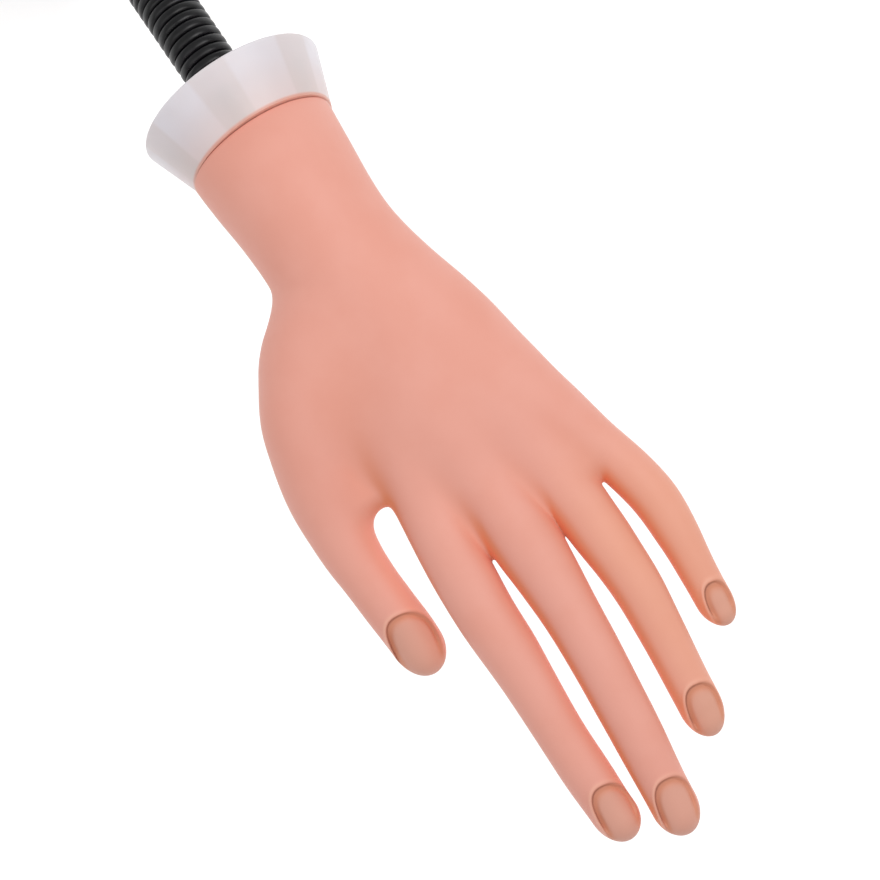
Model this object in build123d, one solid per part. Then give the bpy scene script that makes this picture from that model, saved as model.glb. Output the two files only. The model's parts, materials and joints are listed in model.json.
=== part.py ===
from build123d import *

import os
from dataclasses import dataclass
from math import cos, hypot, radians, sin, tan

# A nail-practice hand: a soft left hand over a jointed skeleton, on a flexible neck with a table clamp.
#
# Row frame, millimetres: +Z up, the table top is the plane z = 0 and the origin is the centre of the clamp's upper
# jaw on it. +X points from the clamp towards the fingertips. The hand is palm down.
# The hand has a frame of its own: origin at the centre of the wrist opening, +X to the fingertips, +Y to the
# little finger, +Z out of the back of the hand.

# ---------------------------------------------------------------- driving dimensions, millimetres and degrees

RUNNING = 0.05  # radial clearance of a pin or shaft that turns
SLIP = 0.15  # clearance between pieces that only slide together

# Table clamp
JAW_WIDTH = 34.0
JAW_THICK = 12.0
JAW_FRONT = 20.0
SPINE_BACK = -34.0
SPINE_THICK = 10.0
PAD_THICK = 2.0
JAW_OPENING = 30.0
JAW_CORNER_R = 6.0
LOWER_JAW_TOP = -54.0
BOSS_R = 12.0
BOSS_TALL = 20.0
STUD_DEEP = 14.0  # bore in the top boss for the neck's stud
SCREW_R = 4.95
SCREW_HEAD_Z = -93.0
SCREW_HEAD_R = 7.0
SCREW_HEAD_TALL = 11.0
NOSE_R = 4.0
SWIVEL_R = 14.0
SWIVEL_THICK = 4.0
SWIVEL_CUP_R = 7.5
SWIVEL_CUP_LOW = 9.0  # the cup's mouth under the pad's face
BAR_R = 2.5
BAR_LENGTH = 56.0
BAR_CAP_R = 4.0
BAR_CAP_LENGTH = 6.0

# Flexible neck: straight links joined end to end, each turned by the same angle from the last
NECK_LINK = 34.0
NECK_LINKS = 5
FOREARM_TILT = 20.0
NECK_TURN = (90.0 - FOREARM_TILT) / (NECK_LINKS - 1)
FIRST_JOINT_Z = 66.0
NECK_SWING = 25.0
FERRULE_R = 11.0
FERRULE_TALL = 16.0
HOSE_R = 8.0
HOSE_GROOVE_R = 7.0
HOSE_BORE_R = 6.1
HOSE_PITCH = 3.1
HOSE_IN_PLUG = 10.0  # how far the hose goes in behind the plug's rim
RIDGE_FOOT = 0.45  # where a ridge leaves its groove, along the hose
RIDGE_TOP = 0.95  # where it reaches its full radius
CORE_R = 3.2
CORE_FOOT_R = 4.2
BALL_R = 3.9
BALL_NECK_R = 1.9
BALL_NECK_LOW = 7.0  # length of the ball's thin neck, from the ball's centre
SOCKET_R = 5.4
SOCKET_LOW = -6.0
SOCKET_TOP = 8.0
SOCKET_MOUTH = ((0, 0), (12, -3), (12, -20), (0, -20))  # (radius, z) of the room for the link below to swing
BUSH_R = 8.2
BUSH_BORE_R = 3.6

# Wrist plug, along the forearm axis: s runs from the skin's edge out to the rim
PLUG_RIM_S = 15.0
PLUG_RIM_R = 27.5
PLUG_EDGE_R = 19.4
PLUG_WALL = 1.6
PLUG_PROFILE = ((-14.0, 15.5), (-4.0, 17.2), (0.0, PLUG_EDGE_R), (PLUG_RIM_S, PLUG_RIM_R))  # (s, outer radius)
PLUG_BACK = (11.5, 13.5)  # the closed wall set into the rim, from and to
HUB_R = 10.5
HUB_NECK_R = 7.0
HUB_SOCKET_R = 8.4
PLUG_RIBS = 6
RIB_THICK = 4.0
RIB_END = 12.0
POST_R = 4.0
POST_LENGTH = 44.0
CLIP_R = 6.6
CLIP_GAP = 3.2
WRIST_R = 21.0

# Hand
HAND_YAW = -3.0  # the hand leans this far towards its thumb side
PALM_Z = 14.0  # height of the palm's middle above the wrist opening's centre
PALM_FRONT_X = 131.0
PLATE_THICK = 4.0
PLATE_OUTLINE = ((40, -8), (40, 12), (92, 31), (110, 35.5), (120, 40), (120, 33), (110, 24), (110, -19),
                 (84, -19))
PRONG_LENGTH = 34.0
LITTLE_PRONG_LENGTH = 14.0
THUMB_ARM = ((75, 83), (-39, -8), 4)  # x range, y range and underside of the arm out to the thumb's prong
POST_BOSS_R = 7.5
POST_BOSS = (-48.0, -30.0)  # its ends along the plug's axis
GRUB_R = 1.5
GRUB_LENGTH = 3.0
GRUB_PLACES = (-40.0, -34.0)  # along the plug's axis
PIN_R = 0.9
PIN_HEAD_R = 1.5
PIN_HEAD_TALL = 0.5
EAR_CLEARANCE = 0.6
TONGUE_SHARE = 0.4  # of a link's width
NAIL_DEPTH = 0.7


@dataclass
class Finger:
    """A chain of links in one upright plane, from its root hinge to its tip."""

    root: tuple
    heading: float
    lengths: tuple
    pitches: tuple  # slope of each link below the horizontal
    radii: tuple  # of the flesh at each hinge, then at the tip
    bone: float
    bends: tuple  # largest bend of each hinge
    nail: tuple  # length and width

    def joint(self, index):
        """Local (x, z) of hinge number index, counted from the root; the last one is the tip's end."""
        x = sum(n * cos(radians(p)) for n, p in zip(self.lengths[:index], self.pitches))
        z = -sum(n * sin(radians(p)) for n, p in zip(self.lengths[:index], self.pitches))
        return x, z

    def place(self, index):
        """Hand-frame location of link number index: X along the link, Y along its hinge."""
        x, z = self.joint(index)
        turn = Pos(*self.root) * Rot(0, 0, self.heading)
        return turn * Pos(x, 0, z) * Rot(0, self.pitches[index], 0)

    def gap(self, index):
        """How far the flesh stays from hinge number index, so that it clears at the largest bend."""
        return self.radii[index] * tan(radians(self.bends[index]) / 2) + 0.6


FINGERS = {
    "index": Finger((139, -14.4, 14), 1.5, (19, 28.5, 26), (1, 5, 8), (8.6, 7.7, 6.9, 5.6), 5.0,
                    (50, 60, 45), (15.5, 10.5)),
    "middle": Finger((140, 5.2, 15), -2.6, (22, 30, 26.5), (0, 5, 8), (8.7, 7.9, 7.1, 5.6), 5.0,
                     (50, 60, 45), (15.5, 10.5)),
    "ring": Finger((138.5, 23.4, 14), -1.4, (15.5, 22.5, 24), (1, 6, 8), (8.0, 7.4, 6.4, 5.2), 5.0,
                   (50, 60, 45), (14.5, 9.5)),
    "little": Finger((132, 39.8, 11.5), 0.0, (12.5, 12.5, 19.5), (2, 6, 8), (6.9, 6.4, 5.5, 4.4), 4.2,
                     (50, 55, 45), (12, 7.5)),
    "thumb": Finger((108, -36.8, 6), 3.0, (13.5, 25.5), (4, 7), (7.8, 7.4, 6.2), 5.0,
                    (35, 45), (18, 12.5)),
}
LINK_NAMES = {3: ("proximal", "middle", "tip"), 2: ("proximal", "tip")}

# Cross-sections of the palm's flesh: x, y and z of the centre, half width, half height
PALM_SECTIONS = (
    (31, 0.5, 10.5, 19.6, 16.5),
    (58, -4.5, PALM_Z - 1, 32.5, 15),
    (88, -5, PALM_Z, 40.3, 14),
    (104, 9, PALM_Z - 0.5, 31.0, 13.5),
    (118, 11.5, PALM_Z - 1, 34.0, 12.5),
    (PALM_FRONT_X, 12.5, PALM_Z - 1, 36.0, 10.5),
)


# ---------------------------------------------------------------- frames

def neck_joint(index):
    """Row-frame point of neck hinge number index, from 1; the one past the last is the plug's rim centre."""
    x, z = 0.0, FIRST_JOINT_Z
    for i in range(1, index):
        slope = radians(90.0 - NECK_TURN * i)
        x += NECK_LINK * cos(slope)
        z += NECK_LINK * sin(slope)
    return x, 0.0, z


def neck_place(index):
    """Location whose Z runs up neck link number index, counted from 0 at the clamp, from its lower hinge."""
    return Pos(*neck_joint(max(index, 1))) * Rot(0, NECK_TURN * index, 0)


FOREARM = Rot(0, -FOREARM_TILT, 0)
RIM = Pos(*neck_joint(NECK_LINKS))
WRIST = RIM * FOREARM * Pos(PLUG_RIM_S, 0, 0)
HAND = Pos(*WRIST.position) * Rot(0, 0, HAND_YAW)
PLUG = Pos(*WRIST.position) * Rot(0, -90.0 - FOREARM_TILT, 0)  # Z runs out of the wrist, towards the clamp
PLUG_IN_HAND = HAND.inverse() * PLUG


# ---------------------------------------------------------------- small shape helpers

def rod(radius, z_low, z_high):
    return Pos(0, 0, z_low) * Cylinder(radius, z_high - z_low, align=(Align.CENTER, Align.CENTER, Align.MIN))


def rod_y(radius, length):
    return Rot(90, 0, 0) * Cylinder(radius, length)


def block(x, y, z):
    """A box from its (low, high) pairs."""
    return Pos((x[0] + x[1]) / 2, (y[0] + y[1]) / 2, (z[0] + z[1]) / 2) * Box(x[1] - x[0], y[1] - y[0], z[1] - z[0])


def turned(*points):
    """A solid of revolution about Z from (radius, z) points."""
    return revolve(Plane.XZ * make_face(Polyline(*points, close=True)), Axis.Z)


# ---------------------------------------------------------------- table clamp

BAR_Z = SCREW_HEAD_Z - SCREW_HEAD_TALL / 2
FERRULE_Z = PAD_THICK + JAW_THICK + BOSS_TALL


def clamp_frame():
    top = block((SPINE_BACK, JAW_FRONT), (-JAW_WIDTH / 2, JAW_WIDTH / 2), (PAD_THICK, PAD_THICK + JAW_THICK))
    spine = block((SPINE_BACK, SPINE_BACK + SPINE_THICK), (-JAW_WIDTH / 2, JAW_WIDTH / 2),
                  (LOWER_JAW_TOP - JAW_THICK, PAD_THICK + JAW_THICK))
    low = block((SPINE_BACK, BOSS_R - 1), (-BOSS_R + 1, BOSS_R - 1), (LOWER_JAW_TOP - JAW_THICK, LOWER_JAW_TOP))
    frame = top + spine + low
    frame = fillet(frame.edges().filter_by(Axis.Y).group_by(Axis.X)[0], JAW_CORNER_R)
    frame += rod(BOSS_R, PAD_THICK + JAW_THICK, FERRULE_Z)
    frame += rod(BOSS_R - 1, LOWER_JAW_TOP - JAW_THICK - 2, LOWER_JAW_TOP + 1)
    frame -= rod(SCREW_R + RUNNING, FERRULE_Z - STUD_DEEP, FERRULE_Z + 1)
    frame -= rod(SCREW_R + RUNNING, LOWER_JAW_TOP - JAW_THICK - 3, LOWER_JAW_TOP + 2)
    return frame


def jaw_pad():
    pad = block((SPINE_BACK + SPINE_THICK + 2, JAW_FRONT - 1), (-JAW_WIDTH / 2 + 1, JAW_WIDTH / 2 - 1),
                (0, PAD_THICK))
    return fillet(pad.edges().filter_by(Axis.Z), 3)


def swivel_pad():
    """The disc that presses on the underside of the table, with a cup for the screw's nose."""
    top = -JAW_OPENING
    cup = rod(SWIVEL_CUP_R, top - SWIVEL_CUP_LOW, top - SWIVEL_THICK + 1)
    cup -= rod(NOSE_R + RUNNING, top - SWIVEL_CUP_LOW - 1, top - SWIVEL_THICK - 0.5)
    return rod(SWIVEL_R, top - SWIVEL_THICK, top) + cup


def clamp_screw():
    shoulder = -JAW_OPENING - SWIVEL_CUP_LOW - 0.5
    nose = rod(NOSE_R, shoulder - 0.5, -JAW_OPENING - SWIVEL_THICK - 0.7)
    head = rod(SCREW_HEAD_R, SCREW_HEAD_Z - SCREW_HEAD_TALL, SCREW_HEAD_Z)
    head = chamfer(head.edges().filter_by(GeomType.CIRCLE), 0.8)
    cross = Pos(0, 0, BAR_Z) * rod_y(BAR_R + RUNNING, 3 * SCREW_HEAD_R)
    return nose + rod(SCREW_R, SCREW_HEAD_Z - 1, shoulder) + head - cross


def tommy_bar():
    return Pos(0, 0, BAR_Z) * rod_y(BAR_R, BAR_LENGTH)


def tommy_bar_caps():
    caps = []
    for side in (-1, 1):
        sleeve = rod_y(BAR_CAP_R, BAR_CAP_LENGTH) - rod_y(BAR_R + RUNNING, BAR_CAP_LENGTH + 2)
        cap = Pos(0, side * (BAR_LENGTH / 2 - 1), BAR_Z) * sleeve
        outer_end = cap.edges().filter_by(GeomType.CIRCLE).group_by(Axis.Y)[0 if side < 0 else -1]
        caps.append(fillet(outer_end[0], 0.6))
    return Compound(children=caps)


# ---------------------------------------------------------------- flexible neck

FERRULE_FLOOR = FERRULE_Z + 5.0
HOSE_GAP = HOSE_R * tan(radians(NECK_SWING + NECK_TURN) / 2) + 0.5


def base_ferrule():
    stud = rod(SCREW_R, FERRULE_Z - STUD_DEEP + 1, FERRULE_Z + 1)
    sleeve = rod(FERRULE_R, FERRULE_Z, FERRULE_Z + FERRULE_TALL)
    sleeve = chamfer(sleeve.edges().filter_by(GeomType.CIRCLE), 1)
    return stud + sleeve - rod(HOSE_R + SLIP, FERRULE_FLOOR, FERRULE_Z + FERRULE_TALL + 1)


def hose(z_low, z_high):
    """Corrugated tube along Z: rounded-off ridges on a thin wall."""
    count = int((z_high - z_low) // HOSE_PITCH)
    start = (z_low + z_high - count * HOSE_PITCH) / 2
    points = [(HOSE_BORE_R, z_low), (HOSE_GROOVE_R, z_low)]
    for i in range(count):
        low = start + i * HOSE_PITCH
        high = low + HOSE_PITCH
        points += [(HOSE_GROOVE_R, low + RIDGE_FOOT), (HOSE_R, low + RIDGE_TOP),
                   (HOSE_R, high - RIDGE_TOP), (HOSE_GROOVE_R, high - RIDGE_FOOT)]
    points += [(HOSE_GROOVE_R, z_high), (HOSE_BORE_R, z_high)]
    return turned(*points)


def core_ball(z):
    """The ball at the upper end of a core link, on its neck."""
    return Pos(0, 0, z) * Sphere(BALL_R) + rod(BALL_NECK_R, z - BALL_NECK_LOW, z - 1)


def core_socket():
    """The cup at the lower end of a core link, around the hinge at z = 0 and open downwards."""
    return rod(SOCKET_R, SOCKET_LOW, SOCKET_TOP) - Sphere(BALL_R + RUNNING) - turned(*SOCKET_MOUTH)


def neck_hose(index):
    low = HOSE_GAP if index else FERRULE_FLOOR + 0.5 - FIRST_JOINT_Z
    high = NECK_LINK - HOSE_GAP if index else -HOSE_GAP
    if index == NECK_LINKS - 1:
        high = NECK_LINK + HOSE_IN_PLUG
    return neck_place(index) * hose(low, high)


def neck_core(index):
    if index == 0:
        foot = rod(CORE_FOOT_R, FERRULE_FLOOR - FIRST_JOINT_Z + 0.1, SOCKET_LOW)
        return neck_place(0) * (foot + core_ball(0))
    last = index == NECK_LINKS - 1
    top = NECK_LINK + HOSE_IN_PLUG + 0.5 if last else NECK_LINK + SOCKET_LOW
    link_shape = core_socket() + rod(CORE_R, SOCKET_TOP - 1, top)
    return neck_place(index) * (link_shape if last else link_shape + core_ball(NECK_LINK))


def neck_top_bush():
    """Disc in the plug's socket that holds the upper end of the neck."""
    return PLUG * (rod(BUSH_R, 1.6, 4.3) - rod(BUSH_BORE_R, 1, 3.2))


# ---------------------------------------------------------------- wrist plug

def plug_radius(s):
    """Outer radius of the plug at s along the forearm axis."""
    for (s0, r0), (s1, r1) in zip(PLUG_PROFILE, PLUG_PROFILE[1:]):
        if s <= s1:
            break
    return r0 + (r1 - r0) * (s - s0) / (s1 - s0)


def wrist_plug():
    (tail, _), (step, _), (edge, _), _ = PLUG_PROFILE
    low, high = PLUG_BACK
    shell = turned(*[(r, s) for s, r in PLUG_PROFILE], *[(r - PLUG_WALL, s) for s, r in reversed(PLUG_PROFILE)])
    wall = turned((HUB_SOCKET_R, low), (plug_radius(low) - 1, low), (plug_radius(high) - 1, high),
                  (HUB_SOCKET_R, high))
    hub = rod(HUB_R, step, high) + rod(HUB_NECK_R, tail, step)
    ribs = Part()
    for i in range(PLUG_RIBS):
        rib = block((POST_R + 2.5, PLUG_RIM_R), (-RIB_THICK / 2, RIB_THICK / 2), (-RIB_END, RIB_END))
        ribs += Rot(0, 0, (i + 0.5) * 360 / PLUG_RIBS) * rib
    inside = [(plug_radius(s) - PLUG_WALL / 2, s) for s in (-RIB_END, step, edge, RIB_END)]
    ribs = ribs & turned((0, -RIB_END), *inside, (0, RIB_END))
    plug = shell + wall + hub + ribs
    plug -= rod(HUB_SOCKET_R, -2, PLUG_RIM_S + 1)
    plug -= rod(POST_R + RUNNING, tail - 1, PLUG_RIM_S + 1)
    return PLUG * plug


def wrist_post():
    return PLUG * rod(POST_R, -POST_LENGTH, -0.5)


def post_clip():
    """Spring clip behind the plug's web, which keeps the post in."""
    ring = rod(CLIP_R, -1.8, -1.0) - rod(POST_R + RUNNING / 2, -3, 0)
    return PLUG * (ring - block((0, CLIP_R + 1), (-CLIP_GAP / 2, CLIP_GAP / 2), (-3, 0)))


# ---------------------------------------------------------------- hand skeleton

def ears(size):
    """Where the slot starts and how wide it and the tongue in it are, for a link of this size."""
    tongue = TONGUE_SHARE * size
    return size / 2 + EAR_CLEARANCE, tongue, tongue + 4 * RUNNING


def pin(size):
    """A rivet across a link of this size, with a low head each side."""
    under_head = size + 4 * RUNNING
    heads = rod_y(PIN_HEAD_R, under_head + 2 * PIN_HEAD_TALL) - rod_y(2 * PIN_HEAD_R, under_head)
    return rod_y(PIN_R, under_head + PIN_HEAD_TALL) + heads


def link(length, size, last=False):
    """A link from the hinge at the origin to the one at x = length: a tongue behind and, unless last, ears ahead."""
    reach, tongue, _ = ears(size)
    half = size / 2
    shape = rod_y(half, tongue) + block((0, reach + 1), (-tongue / 2, tongue / 2), (-half, half))
    shape += block((reach, length), (-half, half), (-half, half)) + Pos(length, 0, 0) * rod_y(half, size)
    shape -= rod_y(PIN_R + RUNNING, size + 2)
    if not last:
        shape -= clevis_cut(length, size)
    return shape


def clevis_cut(x, size):
    """What is taken away to leave ears round a pin at x."""
    reach, _, slot = ears(size)
    gap = block((x - reach, x + size), (-slot / 2, slot / 2), (-size, size))
    return gap + Pos(x, 0, 0) * rod_y(PIN_R + RUNNING, size + 2)


def bone_length(finger, index):
    """Length of link number index; the last stops inside the fingertip."""
    last = index == len(finger.lengths) - 1
    return finger.lengths[index] - (finger.radii[-1] + 3 if last else 0)


def finger_link(finger, index):
    last = index == len(finger.lengths) - 1
    return HAND * finger.place(index) * link(bone_length(finger, index), finger.bone, last)


def finger_pins(finger, hinges):
    """Rivets at the numbered hinges, as one group."""
    pins = [finger.place(i) * pin(finger.bone) for i in hinges]
    return HAND * Compound(children=pins)


def prong(finger, grow):
    """The bar that carries a finger's root hinge. grow widens it into the channel that holds it."""
    half = finger.bone / 2
    length = LITTLE_PRONG_LENGTH if finger is FINGERS["little"] else PRONG_LENGTH
    bar = block((-length, 0), (-half - grow, half + grow), (-half - grow, half + grow))
    bar += rod_y(half + grow, finger.bone + 2 * grow)
    root = Pos(*finger.root) * Rot(0, 0, finger.heading)
    return root * (bar if grow else bar - clevis_cut(0, finger.bone))


def palm_frame_shape(grow=0.0):
    """Plate with five prongs and a boss for the wrist post, in the hand frame."""
    outline = make_face(Polyline(*PLATE_OUTLINE, close=True))
    plate = extrude(offset(outline, grow), PLATE_THICK + 2 * grow)
    shape = Pos(0, 0, PALM_Z - PLATE_THICK / 2 - grow) * plate
    for finger in FINGERS.values():
        shape += prong(finger, grow)
    (back, front), (outer, inner), low = THUMB_ARM
    shape += block((back - grow, front + grow), (outer - grow, inner), (low - grow, PALM_Z + PLATE_THICK / 2 + grow))
    shape += PLUG_IN_HAND * rod(POST_BOSS_R + grow, POST_BOSS[0] - grow, POST_BOSS[1] + grow)
    return shape


def set_screw_places():
    """Where two grub screws go down through the boss on to the post."""
    return [PLUG_IN_HAND * Pos(0, 0, z) * Rot(0, 90, 0) for z in GRUB_PLACES]


def palm_frame():
    frame = palm_frame_shape() - PLUG_IN_HAND * rod(POST_R + RUNNING, -POST_LENGTH - 0.5, POST_BOSS[1] + 5)
    for place in set_screw_places():
        frame -= place * rod(GRUB_R + RUNNING, 0, 12)
    return HAND * frame


def post_set_screws():
    low = POST_R + 0.1
    screws = [place * rod(GRUB_R, low, low + GRUB_LENGTH) for place in set_screw_places()]
    return HAND * Compound(children=screws)


# ---------------------------------------------------------------- flesh

def palm_flesh():
    """The palm and wrist casting, hollow for the frame, the post and the plug."""
    yaw = radians(-HAND_YAW)
    tilt = radians(FOREARM_TILT)
    along = (cos(tilt) * cos(yaw), cos(tilt) * sin(yaw), sin(tilt))
    faces = [Plane(origin=(0, 0, 0), x_dir=(-sin(yaw), cos(yaw), 0), z_dir=along) * Circle(WRIST_R)]
    for x, y, z, half_width, half_height in PALM_SECTIONS:
        plane = Plane(origin=(x, y, z), x_dir=(0, 1, 0), z_dir=(1, 0, 0))
        faces.append(plane * Ellipse(half_width, half_height))
    flesh = loft(faces, ruled=True)
    thumb = FINGERS["thumb"]
    stump = Pos(*thumb.root) * Rot(0, 90 + thumb.pitches[0], 0) * rod(thumb.radii[0], -34, -thumb.gap(0) - 1)
    flesh += stump
    stations = [s for s, _ in PLUG_PROFILE[:3]] + [3]
    mouth = turned((0, -16), *[(plug_radius(s) + SLIP, s) for s in stations], (0, 3))
    flesh -= PLUG_IN_HAND * (mouth + rod(POST_R + RUNNING, -POST_LENGTH - 2, 0))
    flesh -= palm_frame_shape(SLIP)
    for finger in FINGERS.values():
        flesh -= Pos(*finger.root) * Sphere(hypot(finger.gap(0), finger.radii[0]) + 0.7)
    return HAND * flesh


def finger_body(finger, index, shrink=0.0):
    """The outside of one finger segment, in its link's frame."""
    length = finger.lengths[index]
    r_start, r_end = finger.radii[index] - shrink, finger.radii[index + 1] - shrink
    start = finger.gap(index)
    last = index == len(finger.lengths) - 1
    end = length - finger.radii[index + 1] if last else length - finger.gap(index + 1)
    cone = Pos(start, 0, 0) * Rot(0, 90, 0) * Cone(
        r_start, r_end, end - start, align=(Align.CENTER, Align.CENTER, Align.MIN))
    return cone + Pos(end, 0, 0) * Sphere(r_end) if last else cone


def nail_recess(finger):
    """A shallow bed in the back of the fingertip, in the tip link's frame."""
    length, width = finger.nail
    index = len(finger.lengths) - 1
    centre = finger.lengths[index] - length / 2
    column = Pos(centre, 0, 0) * extrude(Ellipse(length / 2, width / 2), 20)
    return column - finger_body(finger, index, NAIL_DEPTH)


def finger_flesh(finger, index):
    half = finger.bone / 2 + SLIP
    last = index == len(finger.lengths) - 1
    shape = finger_body(finger, index)
    channel_end = bone_length(finger, index) + half if last else finger.lengths[index]
    shape -= block((-1, channel_end), (-half, half), (-half, half))
    if last:
        shape -= nail_recess(finger)
    return HAND * finger.place(index) * shape


# ---------------------------------------------------------------- all parts

def all_parts():
    parts = {
        "clamp_frame": clamp_frame(),
        "jaw_pad": jaw_pad(),
        "swivel_pad": swivel_pad(),
        "clamp_screw": clamp_screw(),
        "tommy_bar": tommy_bar(),
        "tommy_bar_caps": tommy_bar_caps(),
        "neck_base_ferrule": base_ferrule(),
        "neck_top_bush": neck_top_bush(),
        "wrist_plug": wrist_plug(),
        "wrist_post": wrist_post(),
        "post_clip": post_clip(),
        "palm_frame": palm_frame(),
        "post_set_screws": post_set_screws(),
        "palm_flesh": palm_flesh(),
    }
    for index in range(NECK_LINKS):
        parts[f"neck_hose_{index + 1}"] = neck_hose(index)
        parts[f"neck_core_{index + 1}"] = neck_core(index)
    knuckles = [f.place(0) * pin(f.bone) for name, f in FINGERS.items() if name != "thumb"]
    parts["knuckle_pins"] = HAND * Compound(children=knuckles)
    for name, finger in FINGERS.items():
        hinges = (0, 1) if name == "thumb" else (1, 2)
        parts[f"{name}_pins"] = finger_pins(finger, hinges)
        for index, segment in enumerate(LINK_NAMES[len(finger.lengths)]):
            parts[f"{name}_{segment}_link"] = finger_link(finger, index)
            parts[f"{name}_{segment}_flesh"] = finger_flesh(finger, index)
    return parts


if __name__ == "__main__":
    os.makedirs("parts", exist_ok=True)
    for node, shape in all_parts().items():
        export_step(shape, f"parts/{node}.step")
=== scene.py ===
"""A nail-practice hand on a flexible neck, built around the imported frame: its skin, plug, hose, clamping
screw and finishes.

Lengths are millimetres in the hand's own frame until to_row() turns them into metres in the row frame.
The hand's frame has its origin at the centre of the wrist opening, +X to the fingertips, +Y to the little
finger and +Z out of the back of the hand.
"""

import json
from math import atan2, cos, pi, radians, sin

import bmesh
import bpy
import numpy as np
import openvdb
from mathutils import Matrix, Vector

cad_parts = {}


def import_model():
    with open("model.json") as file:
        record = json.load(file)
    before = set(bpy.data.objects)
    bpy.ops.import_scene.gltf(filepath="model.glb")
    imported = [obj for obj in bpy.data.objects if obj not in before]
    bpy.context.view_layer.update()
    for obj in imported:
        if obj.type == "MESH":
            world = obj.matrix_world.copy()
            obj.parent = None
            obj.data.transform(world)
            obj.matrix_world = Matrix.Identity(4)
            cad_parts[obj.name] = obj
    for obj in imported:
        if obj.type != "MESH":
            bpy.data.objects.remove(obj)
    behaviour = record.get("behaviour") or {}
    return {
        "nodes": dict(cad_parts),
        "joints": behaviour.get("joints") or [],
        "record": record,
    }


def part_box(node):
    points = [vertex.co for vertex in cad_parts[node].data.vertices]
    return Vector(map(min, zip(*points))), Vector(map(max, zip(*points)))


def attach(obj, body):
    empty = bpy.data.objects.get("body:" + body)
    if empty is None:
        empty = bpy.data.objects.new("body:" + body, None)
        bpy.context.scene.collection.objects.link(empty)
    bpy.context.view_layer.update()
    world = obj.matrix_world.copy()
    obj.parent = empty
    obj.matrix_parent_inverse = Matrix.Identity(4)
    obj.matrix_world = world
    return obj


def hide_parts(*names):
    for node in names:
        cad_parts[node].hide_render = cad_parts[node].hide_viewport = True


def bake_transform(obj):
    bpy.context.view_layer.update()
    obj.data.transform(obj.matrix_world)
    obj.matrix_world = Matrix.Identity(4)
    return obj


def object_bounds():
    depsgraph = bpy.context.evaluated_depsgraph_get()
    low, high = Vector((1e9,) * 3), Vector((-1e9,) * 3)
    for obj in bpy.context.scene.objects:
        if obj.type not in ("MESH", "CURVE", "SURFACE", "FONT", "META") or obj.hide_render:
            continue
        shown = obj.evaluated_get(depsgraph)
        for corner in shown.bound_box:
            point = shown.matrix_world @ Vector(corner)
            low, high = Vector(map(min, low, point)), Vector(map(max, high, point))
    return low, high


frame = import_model()
CAD_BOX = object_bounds()
MM = 0.001
JOINTS = {joint["name"]: joint for joint in frame["joints"]}


# ---------------------------------------------------------------- the hand's frame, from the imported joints

def joint_point(name):
    """A point on the joint's axis, in row-frame metres."""
    return np.array(JOINTS[name]["pos_m"], dtype=float)


def joint_axis(name):
    """The joint's direction in the row frame."""
    return np.array(JOINTS[name]["axis"], dtype=float)


WRIST = joint_point("wrist_swivel")
FOREARM = joint_axis("wrist_swivel")
LITTLE_HINGE = joint_axis("little_knuckle_bend")
YAW = atan2(-LITTLE_HINGE[0], LITTLE_HINGE[1])
TO_ROW = np.array(((cos(YAW), -sin(YAW), 0), (sin(YAW), cos(YAW), 0), (0, 0, 1)))


def to_row(points):
    """Hand-frame millimetres to row-frame metres."""
    return np.asarray(points, dtype=float) @ TO_ROW.T * MM + WRIST


def to_hand(points):
    """Row-frame metres to hand-frame millimetres."""
    return (np.asarray(points, dtype=float) - WRIST) @ TO_ROW / MM


FOREARM_IN_HAND = FOREARM @ TO_ROW


# ---------------------------------------------------------------- field of the hand: negative inside the skin

WALL = 2.2  # thickness of the skin over the fingers
PALM_WALL = 2.5
PLUG_PLAY = 0.15  # gap between the skin and the plug inside it


def curve(x, *knots):
    """Smooth curve through (x, value) knots, level beyond them."""
    xs, ys = np.array(knots, dtype=float).T
    slopes = np.gradient(ys, xs)
    slopes[0] = slopes[-1] = 0
    x = np.clip(x, xs[0], xs[-1])
    i = np.clip(np.searchsorted(xs, x, side="right") - 1, 0, len(xs) - 2)
    span = xs[i + 1] - xs[i]
    t = (x - xs[i]) / span
    value = ((1 + 2 * t) * (1 - t) ** 2 * ys[i] + t * (1 - t) ** 2 * span * slopes[i]
             + t * t * (3 - 2 * t) * ys[i + 1] + t * t * (t - 1) * span * slopes[i + 1])
    return value.astype(x.dtype)


def step(low, high, x):
    """Smooth rise from 0 at low to 1 at high."""
    t = np.clip((x - low) / (high - low), 0, 1)
    return t * t * (3 - 2 * t)


def band(x, centre, width):
    """1 at the centre, fading to nearly 0 two widths away."""
    return np.exp(-((x - centre) / width) ** 2)


def join(a, b, k):
    """Union of two fields with a fillet about k wide."""
    h = np.maximum(k - np.abs(a - b), 0) / k
    return np.minimum(a, b) - h * h * k * 0.25


def oval(x, y, z, radius_x, radius_y, radius_z):
    """Field of an ellipsoid about the origin."""
    q = np.sqrt((x / radius_x) ** 2 + (y / radius_y) ** 2 + (z / radius_z) ** 2)
    slope = np.sqrt((x / radius_x ** 2) ** 2 + (y / radius_y ** 2) ** 2 + (z / radius_z ** 2) ** 2)
    return q * (q - 1) / (slope + 1e-6)


def tube(x, y, z, radius_y, radius_z, back, front, back_cap, front_cap):
    """Field of an oval tube along X. y and z are measured from its centre line, and its ends round off."""
    past = np.minimum(x - back - back_cap, 0) / back_cap + np.maximum(x - front + front_cap, 0) / front_cap
    cap = np.where(x > (back + front) / 2, front_cap, back_cap)
    return oval(past * cap, y, z, cap, radius_y, radius_z)


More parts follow.
